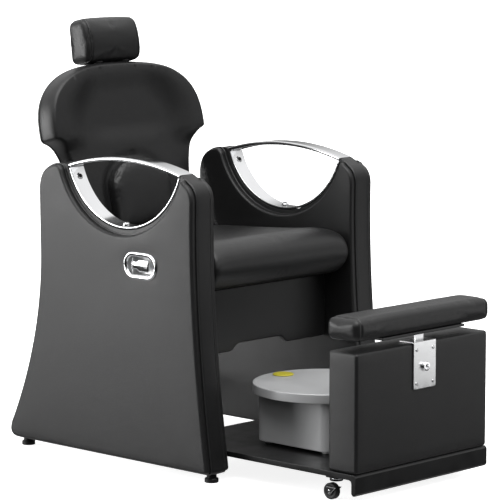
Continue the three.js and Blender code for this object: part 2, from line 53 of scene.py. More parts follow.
def pt(x, y, z):
    """Millimetres, with y from the front feet, to metres in the frame."""
    return Vector((x * MM, y * MM - Y0, z * MM))


def lean(x, depth, s):
    """Backrest coordinates: depth behind the recline axis and height along the back."""
    return pt(x, PIVOT[0] + depth * math.cos(LEAN) + s * math.sin(LEAN),
              PIVOT[1] - depth * math.sin(LEAN) + s * math.cos(LEAN))


# ---------------- camera, light and floor

scene = bpy.context.scene
scene.view_settings.view_transform = "Standard"

cam = bpy.data.objects.new("camera", bpy.data.cameras.new("camera"))
scene.collection.objects.link(cam)
azimuth, elevation = math.radians(-46.48), math.radians(7.63)
back = Vector((math.sin(azimuth) * math.cos(elevation), -math.cos(azimuth) * math.cos(elevation),
               math.sin(elevation)))
cam.location = pt(-5264, -4845, 1529)
cam.rotation_mode = "QUATERNION"
cam.rotation_quaternion = (-back).to_track_quat("-Z", "Y")
cam.data.lens, cam.data.sensor_width = 198.5, 36
cam.data.clip_end = 200
scene.camera = cam


def area_light(name, place, target, size, power, colour=(1, 1, 1)):
    data = bpy.data.lights.new(name, "AREA")
    data.shape, data.size, data.size_y = "RECTANGLE", size[0], size[1]
    data.energy, data.color = power, colour
    lamp = bpy.data.objects.new(name, data)
    scene.collection.objects.link(lamp)
    lamp.location = place
    lamp.rotation_mode = "QUATERNION"
    lamp.rotation_quaternion = (Vector(target) - Vector(place)).to_track_quat("-Z", "Y")
    lamp.visible_camera = False
    return lamp


area_light("key_side", (-3.5, 3.3, 0.95), (-0.3, 0.1, 0.5), (3.0, 1.9), 155)
area_light("front_card", (1.9, -2.2, 0.25), (0.0, -0.2, 0.4), (1.8, 0.9), 7)

sun = bpy.data.objects.new("overhead", bpy.data.lights.new("overhead", "SUN"))
sun.data.energy, sun.data.angle = 2.4, math.radians(60)
sun.rotation_euler = (math.radians(16), math.radians(-12), 0)
scene.collection.objects.link(sun)

def map_range(tree, value, values):
    """The value mapped by (from min, from max, to min, to max)."""
    made = tree.nodes.new("ShaderNodeMapRange")
    tree.links.new(value, made.inputs["Value"])
    for field, number in zip(("From Min", "From Max", "To Min", "To Max"), values):
        made.inputs[field].default_value = number
    return made.outputs[0]


world = bpy.data.worlds.new("studio")
scene.world = world
world.use_nodes = True
sky = world.node_tree
toward = sky.nodes.new("ShaderNodeTexCoord").outputs["Generated"]
split = sky.nodes.new("ShaderNodeSeparateXYZ")
sky.links.new(toward, split.inputs[0])
side_on = sky.nodes.new("ShaderNodeVectorMath")         # the studio is darker at its front right
side_on.operation = "DOT_PRODUCT"
sky.links.new(toward, side_on.inputs[0])
side_on.inputs[1].default_value = (-0.72, -0.68, 0.13)
low_sky = map_range(sky, split.outputs[2], (-0.06, 0.22, 0.03, 0.36))
high_sky = map_range(sky, split.outputs[2], (0.2, 0.55, 0.0, 0.7))
bounce = map_range(sky, split.outputs[2], (-0.45, -0.8, 0.0, 0.6))
shade = map_range(sky, side_on.outputs["Value"], (0.3, 0.75, 1.0, 0.1))


def sky_math(kind, a, b):
    made = sky.nodes.new("ShaderNodeMath")
    made.operation = kind
    sky.links.new(a, made.inputs[0])
    sky.links.new(b, made.inputs[1])
    return made.outputs[0]


level = sky_math("ADD", sky_math("ADD", sky_math("MULTIPLY", low_sky, shade), high_sky), bounce)
sky.links.new(level, sky.nodes["Background"].inputs[1])
sky.nodes["Background"].inputs[0].default_value = (1, 1, 1, 1)


# ---------------- materials

class Shader:
    """A principled material and the node patterns that the materials share."""

    def __init__(self, name):
        self.mat = bpy.data.materials.new(name)
        self.mat.use_nodes = True
        self.tree = self.mat.node_tree
        self.inputs = self.tree.nodes["Principled BSDF"].inputs
        self.where = self.tree.nodes.new("ShaderNodeTexCoord").outputs["Object"]

    def node(self, kind, **inputs):
        """A node with its inputs set or linked; _0 and _1 are inputs by number."""
        made = self.tree.nodes.new("ShaderNode" + kind)
        for key, value in inputs.items():
            socket = made.inputs[int(key[1:]) if key[0] == "_" else key]
            if isinstance(value, bpy.types.NodeSocket):
                self.tree.links.new(value, socket)
            else:
                socket.default_value = value
        return made

    def noise(self, scale, detail, **more):
        inputs = {"Vector": self.where, "Scale": scale, "Detail": detail, **more}
        return self.node("TexNoise", **inputs).outputs[0]

    def stretch(self, scale):
        return self.node("Mapping", Vector=self.where, Scale=scale).outputs[0]

    def bump(self, **inputs):
        return self.node("Bump", **inputs).outputs[0]

    def ramp(self, value, low, high):
        return map_range(self.tree, value, (0.3, 0.7, low, high))

    def mean(self, a, b):
        total = self.node("Math", _0=a, _1=b)
        total.operation = "ADD"
        half = self.node("Math", _0=total.outputs[0], _1=0.5)
        half.operation = "MULTIPLY"
        return half.outputs[0]

    def finish(self, tone, dark, light, wear, low, high, bump, **values):
        """Colour from dark to light by tone, roughness from low to high by wear."""
        mix = self.tree.nodes.new("ShaderNodeMix")
        mix.data_type = "RGBA"
        self.tree.links.new(self.ramp(tone, 0, 1), mix.inputs[0])
        mix.inputs[6].default_value, mix.inputs[7].default_value = (*dark, 1), (*light, 1)
        for key, output in (("Base Color", mix.outputs[2]), ("Normal", bump),
                            ("Roughness", self.ramp(wear, low, high))):
            self.tree.links.new(output, self.inputs[key])
        for key, value in values.items():
            self.inputs[key.replace("_", " ")].default_value = value
        return self.mat


def leather(name, dark, light, rough, grain=620, crease=26, depth=0.00022, level=0.5):
    """Coated leatherette: cell grain, pores between the cells, slow unevenness and rub marks."""
    at = Shader(name)
    worn = at.mean(at.noise(5.0, 4.0), at.noise(90.0, 5.0, Roughness=0.6))
    cells = at.node("TexVoronoi", Vector=at.where, Scale=grain)
    cells.feature = "DISTANCE_TO_EDGE"
    pores = map_range(at.tree, cells.outputs[0], (0.0, 0.22, 0.0, 1.0))
    folds = at.bump(Height=at.noise(crease, 3.0, Distortion=0.5), Strength=0.35, Distance=0.0012)
    fine = at.bump(Height=pores, Normal=folds, Strength=0.5, Distance=depth)
    return at.finish(worn, dark, light, worn, rough - 0.05, rough + 0.06, fine,
                     Specular_IOR_Level=level, Sheen_Weight=0.02)


def metal(name, colour, low, high, stretched=(1, 1, 1), scratch=0.00003, speck=60.0, metallic=1.0,
          anisotropy=0.0):
    """Plated, brushed or painted metal, by how its fine noise is stretched."""
    at = Shader(name)
    fine = at.noise(speck, 6.0, Vector=at.stretch(stretched), Roughness=0.65)
    slow = at.noise(7.0, 3.0)
    return at.finish(slow, tuple(0.9 * part for part in colour), colour, at.mean(fine, slow), low,
                     high, at.bump(Height=fine, Strength=0.35, Distance=scratch),
                     Metallic=metallic, Anisotropic=anisotropy)


def moulded(name, dark, light, rough, grain=900.0, depth=0.00006, metallic=0.0, level=0.5):
    """Moulded plastic or rubber: fine spark texture, faint flow marks and dust."""
    at = Shader(name)
    slow = at.noise(11.0, 5.0, Roughness=0.6)
    return at.finish(slow, dark, light, slow, rough - 0.06, rough + 0.08,
                     at.bump(Height=at.noise(grain, 2.0), Strength=0.4, Distance=depth),
                     Metallic=metallic, Specular_IOR_Level=level)


def plywood(name):
    at = Shader(name)
    rings = at.noise(3.0, 6.0, Vector=at.stretch((2.5, 30, 90)), Distortion=1.2)
    return at.finish(rings, (0.27, 0.17, 0.085), (0.46, 0.32, 0.18), rings, 0.55, 0.72,
                     at.bump(Height=rings, Strength=0.3, Distance=0.0003))


HIDE_DARK, HIDE_LIGHT = (0.0075, 0.0075, 0.0078), (0.012, 0.012, 0.0123)
HIDE = leather("black_leatherette", HIDE_DARK, HIDE_LIGHT, 0.38, level=0.45)
SOFT = leather("black_leatherette_soft", HIDE_DARK, HIDE_LIGHT, 0.34, grain=540, crease=34,
               level=0.45)
# The welt's leatherette is a paler copy of the black hide: its lighter colour is a painted
# highlight along the piping.
WELT_PAINTED_HIGHLIGHT = leather("welt_leatherette_painted_highlight", (0.013, 0.013, 0.0134), (0.02, 0.02, 0.0205), 0.3, grain=1100,
               crease=120, depth=0.0001, level=0.6)
CHROME = metal("chrome", (0.83, 0.835, 0.845), 0.07, 0.15)
SATIN = metal("satin_steel", (0.62, 0.63, 0.64), 0.24, 0.36, (1, 1, 14), speck=40)
BRUSHED = metal("brushed_steel", (0.84, 0.845, 0.85), 0.24, 0.38, (1, 1, 26), 0.00006, 34,
                anisotropy=0.4)
PAINT = metal("black_powder_coat", (0.018, 0.018, 0.019), 0.36, 0.5, scratch=0.00012, speck=900,
              metallic=0.0)
GREY = moulded("basin_plastic", (0.46, 0.465, 0.47), (0.5, 0.505, 0.51), 0.36, metallic=0.2)
# The handle well's metal is a paler, less metallic copy of the satin steel: painted light, so the
# well's floor reads bright where its walls shade it.
WELL_PAINTED_LIGHT = moulded("well_metal_painted_light", (0.72, 0.725, 0.73), (0.8, 0.805, 0.81), 0.36, metallic=0.35)
YELLOW = moulded("cap_plastic", (0.48, 0.42, 0.03), (0.56, 0.5, 0.05), 0.4)
BLACK = moulded("black_plastic", (0.011, 0.011, 0.0115), (0.018, 0.018, 0.0185), 0.42)
TYRE = moulded("tyre_rubber", (0.009, 0.009, 0.0095), (0.017, 0.017, 0.017), 0.62, 500.0, 0.0001)
LAMINATE = moulded("black_laminate", (0.007, 0.007, 0.0073), (0.011, 0.011, 0.0113), 0.34, 700.0,
                   0.00004, level=0.3)
PLY = plywood("seat_ply")
SLOTS = {"upholstery": (HIDE, SOFT, WELT_PAINTED_HIGHLIGHT), "chrome": (CHROME,), "satin_steel": (SATIN, WELL_PAINTED_LIGHT),
         "brushed_steel": (BRUSHED,), "black_steel": (PAINT,), "basin_grey": (GREY,),
         "cap_yellow": (YELLOW,), "black_plastic": (BLACK,), "caster_tyre": (TYRE,),
         "tray_board": (LAMINATE,)}
SLOT_OF = {material.name: slot for slot, materials in SLOTS.items() for material in materials}


# ---------------- mesh helpers

def turn_outwards(mesh, weld=0.0):
    bm = bmesh.new()
    bm.from_mesh(mesh)
    if weld:
        bmesh.ops.remove_doubles(bm, verts=bm.verts, dist=weld)
    bmesh.ops.recalc_face_normals(bm, faces=bm.faces)
    bm.to_mesh(mesh)
    bm.free()


def make(name, verts, faces, material, body, replaces=(), slot=None, smooth=True, weld=0.0):
    """A piece that rides a body; its slot, if none is given its material's, is worked out but not
    used.
    """
    mesh = bpy.data.meshes.new(name)
    mesh.from_pydata([tuple(v) for v in verts], [], [tuple(f) for f in faces])
    mesh.validate()
    turn_outwards(mesh, weld)
    for face in mesh.polygons:
        face.use_smooth = smooth
    mesh.materials.append(material)
    obj = bpy.data.objects.new(name, mesh)
    scene.collection.objects.link(obj)
    slot = slot or SLOT_OF[material.name]
    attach(obj, body)
    if replaces:
        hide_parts(*replaces)
    return obj


def apply_modifiers(obj):
    graph = bpy.context.evaluated_depsgraph_get()
    mesh = bpy.data.meshes.new_from_object(obj.evaluated_get(graph), depsgraph=graph)
    old = obj.data
    obj.modifiers.clear()
    obj.data = mesh
    bpy.data.meshes.remove(old)
    return obj


def bevel(obj, width, segments=3, angle=35):
    """Rounded edges with flat faces left flat in the shading."""
    mod = obj.modifiers.new("bevel", "BEVEL")
    mod.width, mod.segments, mod.limit_method = width * MM, segments, "ANGLE"
    mod.angle_limit = math.radians(angle)
    mod.harden_normals = False
    weighted = obj.modifiers.new("weighted", "WEIGHTED_NORMAL")
    weighted.keep_sharp = False
    return apply_modifiers(obj)


def carve(obj, *tools):
    """Cuts closed tool shapes, each (verts, faces) in metres, out of a piece."""
    for number, (verts, faces) in enumerate(tools):
        mesh = bpy.data.meshes.new(f"cutter{number}")
        mesh.from_pydata([tuple(v) for v in verts], [], faces)
        turn_outwards(mesh)
        tool = bpy.data.objects.new(f"cutter{number}", mesh)
        scene.collection.objects.link(tool)
        mod = obj.modifiers.new("cut", "BOOLEAN")
        mod.object, mod.operation, mod.solver = tool, "DIFFERENCE", "EXACT"
        apply_modifiers(obj)
        bpy.data.objects.remove(tool)
        bpy.data.meshes.remove(mesh)
    return obj


def box(x0, x1, y0, y1, z0, z1):
    """The points and faces of a plain box."""
    corners = [pt(x, y, z) for x in (x0, x1) for y in (y0, y1) for z in (z0, z1)]
    return corners, [(0, 1, 3, 2), (4, 6, 7, 5), (0, 4, 5, 1), (2, 3, 7, 6), (0, 2, 6, 4),
                     (1, 5, 7, 3)]


def quads(a, b, count):
    """Faces between two loops of as many points, whose first points are a and b."""
    return [(a + i, a + (i + 1) % count, b + (i + 1) % count, b + i) for i in range(count)]


class Path:
    """A 2-D outline in millimetres, sampled about every `step`."""

    def __init__(self, x, y, step=4.0):
        self.points, self.step = [(x, y)], step

    def _add(self, fn, length):
        count = max(2, int(math.ceil(length / self.step)))
        self.points += [fn(i / count) for i in range(1, count + 1)]

    def line(self, x, y):
        a, b = self.points[-1]
        self._add(lambda t: (a + (x - a) * t, b + (y - b) * t), math.hypot(x - a, y - b))
        return self

    def curve(self, *numbers):
        """A Bezier curve from the last point; the numbers are its other points' pairs."""
        spots = [self.points[-1], *zip(numbers[::2], numbers[1::2])]
        degree = len(spots) - 1

        def at(t):
            weights = [math.comb(degree, i) * (1 - t) ** (degree - i) * t ** i
                       for i in range(degree + 1)]
            return tuple(sum(w * spot[k] for w, spot in zip(weights, spots)) for k in (0, 1))

        self._add(at, sum(math.hypot(c - a, d - b) for (a, b), (c, d) in zip(spots, spots[1:])))
        return self

    def arc(self, cx, cy, r, start, stop):
        self._add(lambda t: (cx + r * math.cos(start + (stop - start) * t),
                             cy + r * math.sin(start + (stop - start) * t)), r * abs(stop - start))
        return self

    def closed(self):
        ring = np.array(self.points, float)
        keep = np.linalg.norm(ring - np.roll(ring, 1, axis=0), axis=1) > 0.05
        ring = ring[keep]
        x, y = ring[:, 0], ring[:, 1]
        area = np.sum(x * np.roll(y, -1) - np.roll(x, -1) * y)
        return ring if area > 0 else ring[::-1].copy()


def rounded_rect(x0, y0, x1, y1, r, step=4.0):
    path = Path(x0 + r, y0, step)
    path.line(x1 - r, y0).arc(x1 - r, y0 + r, r, -math.pi / 2, 0)
    path.line(x1, y1 - r).arc(x1 - r, y1 - r, r, 0, math.pi / 2)
    path.line(x0 + r, y1).arc(x0 + r, y1 - r, r, math.pi / 2, math.pi)
    path.line(x0, y0 + r).arc(x0 + r, y0 + r, r, math.pi, 1.5 * math.pi)
    return path.closed()


def circle(cx, cy, r, count=48):
    turn = np.linspace(0, 2 * math.pi, count, endpoint=False)
    return np.stack([cx + r * np.cos(turn), cy + r * np.sin(turn)], axis=1)


def soften(ring, degrees=24, reach=9, rounds=40):
    """Rounds the sharp corners of a dense outline."""
    ring = ring.copy()
    before, after = ring - np.roll(ring, 1, axis=0), np.roll(ring, -1, axis=0) - ring
    turn = np.arctan2(before[:, 0] * after[:, 1] - before[:, 1] * after[:, 0],
                      (before * after).sum(axis=1))
    corners = ring[np.abs(turn) > math.radians(degrees)]
    if not len(corners):
        return ring
    away = np.linalg.norm(ring[:, None] - corners[None], axis=2).min(axis=1)
    weight = np.clip(1 - away / reach, 0, 1)[:, None] * 0.5
    for _ in range(rounds):
        ring += weight * ((np.roll(ring, 1, axis=0) + np.roll(ring, -1, axis=0)) / 2 - ring)
    return ring


def nearest(points, ring):
    """Distance and nearest point on a closed outline, for each point."""
    a, b = ring, np.roll(ring, -1, axis=0)
    ab = b - a
    length = np.maximum((ab ** 2).sum(axis=1), 1e-12)
    ap = points[:, None] - a[None]
    t = np.clip((ap * ab[None]).sum(axis=2) / length, 0, 1)
    foot = a[None] + t[..., None] * ab[None]
    gap = np.linalg.norm(points[:, None] - foot, axis=2)
    best = gap.argmin(axis=1)
    rows = np.arange(len(points))
    return gap[rows, best], foot[rows, best]


def inset(ring, amount):
    """The outline moved inwards (or outwards, if negative) without crossing itself."""
    edge = np.roll(ring, -1, axis=0) - np.roll(ring, 1, axis=0)
    normal = np.stack([-edge[:, 1], edge[:, 0]], axis=1)
    normal /= np.maximum(np.linalg.norm(normal, axis=1), 1e-9)[:, None]
    if amount < 0.4:
        return ring + normal * amount
    points = ring + normal * 0.3
    for _ in range(int(amount / 0.7) + 3):
        gap, foot = nearest(points, ring)
        away = (points - foot) / np.maximum(gap, 1e-6)[:, None]
        points = points + away * np.clip(amount - gap, -0.7, 0.7)[:, None]
    return points


def inside(points, ring):
    x, y = points[:, 0][:, None], points[:, 1][:, None]
    a, b = ring, np.roll(ring, -1, axis=0)
    crosses = (a[:, 1] > y) != (b[:, 1] > y)
    rise = np.where(b[:, 1] == a[:, 1], 1e-12, b[:, 1] - a[:, 1])
    slope = (b[:, 0] - a[:, 0]) * (y - a[:, 1]) / rise
    return ((x < slope + a[:, 0]) & crosses).sum(axis=1) % 2 == 1


def fill(ring, holes=(), spacing=16.0):
    """Triangles over the area inside an outline, with an even spread of inner points."""
    lo, hi = ring.min(axis=0), ring.max(axis=0)
    xs, ys = np.arange(lo[0], hi[0], spacing), np.arange(lo[1], hi[1], spacing * 0.87)
    grid = np.array([(x + (spacing / 2 if row % 2 else 0), y)
                     for row, y in enumerate(ys) for x in xs])
    if len(grid):
        keep = inside(grid, ring) & (nearest(grid, ring)[0] > spacing * 0.45)
        for hole in holes:
            keep &= ~inside(grid, hole) & (nearest(grid, hole)[0] > spacing * 0.45)
        grid = grid[keep]
    loops, edges, verts = [ring, *holes], [], []
    for loop in loops:
        start = len(verts)
        verts += [Vector(p) for p in loop]
        edges += [(start + i, start + (i + 1) % len(loop)) for i in range(len(loop))]
    verts += [Vector(p) for p in grid]
    points, _, faces, *_ = delaunay_2d_cdt(verts, edges, [], 0, 1e-4, False)
    flat = np.array([tuple(p) for p in points])
    middles = flat[np.array([list(f) for f in faces])].mean(axis=1)
    keep = inside(middles, ring)
    for hole in holes:
        keep &= ~inside(middles, hole)
    return flat, [tuple(f) for f, wanted in zip(faces, keep) if wanted]


def slab(name, ring, place, rim, material, body, replaces=(), holes=(), crown=None,
         spacing=16.0):
    """A padded or rounded plate. rim is [(inset, depth)] from the back edge round to the front
    edge; crown(u, v, gap) adds depth over the front face, gap being the distance to its edge."""
    verts, faces = [], []
    loops = [(ring, 1)] + [(hole, -1) for hole in holes]
    ends = []
    for loop, sign in loops:
        start = len(verts)
        rings = []
        for amount, depth in rim:
            moved = inset(loop, amount) if sign > 0 else inset(loop, -amount)
            rings.append(moved)
            verts += [place(u, v, depth) for u, v in moved]
        count = len(loop)
        for j in range(len(rim) - 1):
            faces += quads(start + j * count, start + (j + 1) * count, count)
        ends.append((rings[0], rings[-1]))
    for which, depth, shape in ((0, rim[0][1], None), (1, rim[-1][1], crown)):
        outer = ends[0][which]
        flat, triangles = fill(outer, [e[which] for e in ends[1:]], spacing)
        if shape:
            gap = nearest(flat, outer)[0]
            for hole in [e[which] for e in ends[1:]]:
                gap = np.minimum(gap, nearest(flat, hole)[0])
            depths = [depth + shape(u, v, g) for (u, v), g in zip(flat, gap)]
        else:
            depths = [depth] * len(flat)
        start = len(verts)
        verts += [place(u, v, d) for (u, v), d in zip(flat, depths)]
        faces += [tuple(start + i for i in t) for t in triangles]
    return make(name, verts, faces, material, body, replaces, weld=2e-5)


def puffed(height, reach):
    """A face that rises by height, most of it within reach of its edge."""
    return lambda u, v, gap: height * (1 - math.exp(-gap / reach))


def rounding(radius, depth0, depth1, small=1.0, steps=6):
    """Rim from the back face (small rounding) to the front face (large rounding)."""
    way = 1 if depth1 > depth0 else -1
    rim = []
    for i in range(4):
        a = math.pi / 2 * i / 3
        rim.append((small * (1 - math.sin(a)), depth0 + way * small * (1 - math.cos(a))))
    straight0, straight1 = depth0 + way * small, depth1 - way * radius
    for t in (0.25, 0.5, 0.75):
        rim.append((0, straight0 + (straight1 - straight0) * t))
    for i in range(steps + 1):
        a = math.pi / 2 * i / steps
        rim.append((radius * (1 - math.cos(a)), depth1 - way * radius * (1 - math.sin(a))))
    return rim


def loft(name, rings, material, body, replaces=(), closed_ends=True):
    """A skin through rings of as many points."""
    count = len(rings[0])
    verts = [spot for ring in rings for spot in ring]
    faces = []
    for j in range(len(rings) - 1):
        faces += quads(j * count, (j + 1) * count, count)
    if closed_ends:
        faces.append(tuple(range(count))[::-1])
        faces.append(tuple((len(rings) - 1) * count + i for i in range(count)))
    return make(name, verts, faces, material, body, replaces, weld=1e-6)


def revolved(profile, centre, axis, count, socket=None):
    """Points and faces from (radius, height) pairs in millimetres about an axis through centre.
    From the pair numbered socket on, the rings are hexagons."""
    axis = Vector(axis).normalized()
    side = axis.orthogonal().normalized()
    other = axis.cross(side)
    verts, faces, rows = [], [], []
    for number, (radius, height) in enumerate(profile):
        if radius < 1e-6:
            rows.append([len(verts)])
            verts.append(centre + axis * height * MM)
            continue
        rows.append(list(range(len(verts), len(verts) + count)))
        for i in range(count):
            turn = 2 * math.pi * i / count
            reach = radius
            if socket is not None and number >= socket:
                sector = (turn + math.pi / 6) % (math.pi / 3) - math.pi / 6
                reach = radius * 0.88 / math.cos(sector)
            verts.append(centre + axis * height * MM
                         + (side * math.cos(turn) + other * math.sin(turn)) * reach * MM)
    for low, high in zip(rows, rows[1:]):
        for i in range(count):
            k = (i + 1) % count
            quad = [low[i % len(low)], low[k % len(low)], high[k % len(high)], high[i % len(high)]]
            face = list(dict.fromkeys(quad))
            if len(face) > 2:
                faces.append(tuple(face))
    return verts, faces


def two_ends(profile):
    """A profile of (radius, height) pairs and its mirror image."""
    return profile + [(radius, -height) for radius, height in profile[::-1]]


def turned(name, profile, centre, axis, material, body, replaces=(), slot=None, count=48, sharp=32):
    """A solid of revolution."""
    verts, faces = revolved(profile, centre, axis, count)
    return smooth_by_angle(make(name, verts, faces, material, body, replaces, slot), sharp)


def smooth_by_angle(obj, degrees):
    mesh = obj.data
    bm = bmesh.new()
    bm.from_mesh(mesh)
    for edge in bm.edges:
        if len(edge.link_faces) == 2:
            edge.smooth = edge.calc_face_angle(0) < math.radians(degrees)
    for face in bm.faces:
        face.smooth = True
    bm.to_mesh(mesh)
    bm.free()
    weighted = obj.modifiers.new("weighted", "WEIGHTED_NORMAL")
    weighted.keep_sharp, weighted.weight = True, 90
    return apply_modifiers(obj)


def tube(name, points, radius, body, sides=10):
    """A closed welt along points given in metres."""
    points = [Vector(p) for p in points]
    count = len(points)
    tangents = []
    for i in range(count):
        tangents.append((points[(i + 1) % count] - points[i - 1]).normalized())
    normal = tangents[0].orthogonal().normalized()
    verts, faces, frames = [], [], []
    for tangent in tangents:
        normal = (normal - tangent * normal.dot(tangent)).normalized()
        frames.append((normal.copy(), tangent.cross(normal)))
    first, last = frames[0][0], frames[-1][0]
    last = (last - tangents[0] * last.dot(tangents[0])).normalized()
    twist = math.atan2(last.cross(first).dot(tangents[0]), last.dot(first))
    for i, (point, (n, b)) in enumerate(zip(points, frames)):
        for s in range(sides):
            turn = 2 * math.pi * s / sides + twist * i / count
            verts.append(point + (n * math.cos(turn) + b * math.sin(turn)) * radius * MM)
        faces += quads(i * sides, (i + 1) % count * sides, sides)
    # The welt takes the paler leatherette, whose lighter colour is a painted highlight.
    return make(name, verts, faces, WELT_PAINTED_HIGHLIGHT, body)


def spline(points, count=12):
    """A smooth closed outline through a few 2-D points."""
    p = np.array(points, float)
    out = []
    for i in range(len(p)):
        a, b, c, d = p[i - 1], p[i], p[(i + 1) % len(p)], p[(i + 2) % len(p)]
        for t in np.linspace(0, 1, count, endpoint=False):
            out.append(0.5 * ((2 * b) + (c - a) * t + (2 * a - 5 * b + 4 * c - d) * t ** 2
                              + (3 * b - 3 * c + d - a) * t ** 3))
    return np.array(out)


def resample(points, spacing, closed=True):
    """Even spacing along a 3-D path in metres; spacing in millimetres."""
    points = np.array([tuple(p) for p in points])
    if closed:
        points = np.vstack([points, points[:1]])
    steps = np.linalg.norm(np.diff(points, axis=0), axis=1)
    along = np.concatenate([[0], np.cumsum(steps)])
    count = max(8, int(along[-1] / (spacing * MM)))
    at = np.linspace(0, along[-1], count, endpoint=not closed)
    return [Vector([np.interp(t, along, points[:, k]) for k in range(3)]) for t in at]


def press(obj, path, width, depth, closed=True):
    """A seam line pulled into a padded surface along a path."""
    mesh = obj.data
    spots = np.array([tuple(p) for p in resample(path, 2.0, closed)])
    co = np.array([tuple(v.co) for v in mesh.vertices])
    lo, hi = spots.min(axis=0) - 3 * width * MM, spots.max(axis=0) + 3 * width * MM
    near = np.where(((co > lo) & (co < hi)).all(axis=1))[0]
    for start in range(0, len(near), 4000):
        rows = near[start:start + 4000]
        gap = np.linalg.norm(co[rows][:, None] - spots[None], axis=2).min(axis=1) / (width * MM)
        for row, g in zip(rows, gap):
            if g < 2.5:
                vert = mesh.vertices[row]
                vert.co = vert.co - vert.normal * (depth * MM * math.exp(-g * g))
    mesh.update()


def surface_path(obj, path, lift=0.0):
    """The path moved onto a piece's surface, lifted by so many millimetres."""
    graph = BVHTree.FromPolygons([v.co.copy() for v in obj.data.vertices],
                                 [tuple(p.vertices) for p in obj.data.polygons])
    found = []
    for p in path:
        spot, normal, _, _ = graph.find_nearest(p)
        found.append(spot + normal * lift * MM)
    for _ in range(2):
        found = [(found[i - 1] + found[i] * 2 + found[(i + 1) % len(found)]) / 4
                 for i in range(len(found))]
    return found


def inflate(obj, voxel, cap=5.0, hold=None, pressure=4.0, stiffness=12.0):
    """Cloth under inside pressure, with each point's travel capped, applied to the mesh."""
    mod = obj.modifiers.new("remesh", "REMESH")
    mod.mode, mod.voxel_size, mod.use_smooth_shade = "VOXEL", voxel * MM, True
    apply_modifiers(obj)
    mesh = obj.data
    rest = np.array([tuple(v.co) for v in mesh.vertices])
    cloth = obj.modifiers.new("cloth", "CLOTH")
    cloth.settings.quality = 4
    cloth.settings.mass = 0.25
    cloth.settings.tension_stiffness = stiffness
    cloth.settings.compression_stiffness = stiffness
    cloth.settings.use_pressure = True
    cloth.settings.uniform_pressure_force = pressure
    cloth.settings.effector_weights.gravity = 0
    cloth.collision_settings.use_collision = False
    scene.frame_start, scene.frame_end = 1, 20
    for number in range(1, 21):
        scene.frame_set(number)
    graph = bpy.context.evaluated_depsgraph_get()
    shown = obj.evaluated_get(graph).to_mesh()
    moved = np.array([tuple(v.co) for v in shown.vertices])
    obj.evaluated_get(graph).to_mesh_clear()
    obj.modifiers.clear()
    scene.frame_set(1)
    delta = moved - rest
    length = np.linalg.norm(delta, axis=1)
    delta *= (cap * MM * np.tanh(length / (cap * MM)) / np.maximum(length, 1e-9))[:, None]
    if hold:
        delta *= np.array([hold(p) for p in rest])[:, None]
    for vert, spot in zip(mesh.vertices, rest + delta):
        vert.co = spot
    for face in mesh.polygons:
        face.use_smooth = True
    mesh.update()
    sub = obj.modifiers.new("sub", "SUBSURF")
    sub.levels = sub.render_levels = 1
    return apply_modifiers(obj)


def smoothstep(a, b, x):
    t = min(1.0, max(0.0, (x - a) / (b - a)))
    return t * t * (3 - 2 * t)


def along_bar(ring, half, radius, steps, middle, place):
    """Rings from one rounded end of a cushion to the other. steps are distances from the end,
    middle the places between the ends, in millimetres from the cushion's middle."""
    ends = []
    for step in steps:
        short = radius - min(step, radius)
        ends.append((half - step, radius - math.sqrt(max(0, radius ** 2 - short ** 2))))
    ends += [(x, 0) for x in middle]
    return [[place(x, u, v) for u, v in (inset(ring, amount) if amount else ring)]
            for x, amount in ends + [(-x, amount) for x, amount in ends[-2::-1]]]


def screw(name, centre, normal, radius, body, material=CHROME, socket=True, slot=None, height=2.2):
    """Button-head screw with a hexagon socket, or a plain domed washer."""
    dome = [(radius, 0), (radius, 0.25 * height), (radius * 0.93, 0.6 * height),
            (radius * 0.72, 0.9 * height), (radius * 0.5, height)]
    if socket:
        middle = [(radius * 0.46, height * 0.98), (radius * 0.44, height * 0.15), (0, height * 0.1)]
    else:
        middle = [(0, height * 1.02)]
    verts, faces = revolved(dome + middle, centre, normal, 24, len(dome) if socket else None)
    return smooth_by_angle(make(name, verts, faces, material, body, slot=slot), 30)


def join(keep, *others):
    """One piece from several; the first keeps its name and body."""
    bm = bmesh.new()
    bm.from_mesh(keep.data)
    mats = [m for m in keep.data.materials]
    for other in others:
        start = len(bm.faces)
        bm.from_mesh(other.data)
        bm.faces.ensure_lookup_table()
        for m in other.data.materials:
            if m not in mats:
                mats.append(m)
        index = mats.index(other.data.materials[0])
        for face in bm.faces[start:]:
            face.material_index = index
    bm.to_mesh(keep.data)
    bm.free()
    keep.data.materials.clear()
    for m in mats:
        keep.data.materials.append(m)
    for other in others:
        bpy.data.objects.remove(other)
    return keep


# ---------------- side panels

def panel_outline(amount, notch_radius, step=4.0):
    y, z = NOTCH
    top = 785 - amount
    reach = math.sqrt(notch_radius ** 2 - (z - top) ** 2)
    dip = math.asin((z - top) / notch_radius)
    a = amount
    path = Path(-12 + a, 23 + a, step)
    path.line(704 - a, 23 + a).curve(734 - a, 23 + a, 732 - a, 58)
    path.curve(662 - a, 190, 599 - a, 370, 603 - a, 560).line(605 - a, 700)
    path.curve(608 - a, 754 - a, 586 - a, 786 - a, y + reach + 12, top + 2).line(y + reach, top)
    path.arc(y, z, notch_radius, -dip, -math.pi + dip).line(54 + a, 770 - a)
    path.curve(26 + a, 757 - a, 25.5 + a, 718).curve(31 + a, 460, 2 + a, 230, -25 + a, 38)
    path.curve(-27 + a, 23 + a, -12 + a, 23 + a)
    return path.closed()


def stadium(length, height):
    y, z, r = *HANDLE, height / 2
    return rounded_rect(y - length / 2, z - r, y + length / 2, z + r, r - 0.01, 3.0)


def strip(centre, outer, inner, start, stop):
    """A band between two arcs about one centre."""
    y, z = centre
    path = Path(y + outer * math.cos(start), z + outer * math.sin(start), 5)
    path.arc(y, z, outer, start, stop)
    path.line(y + inner * math.cos(stop), z + inner * math.sin(stop))
    path.arc(y, z, inner, stop, start)
    return path.closed()


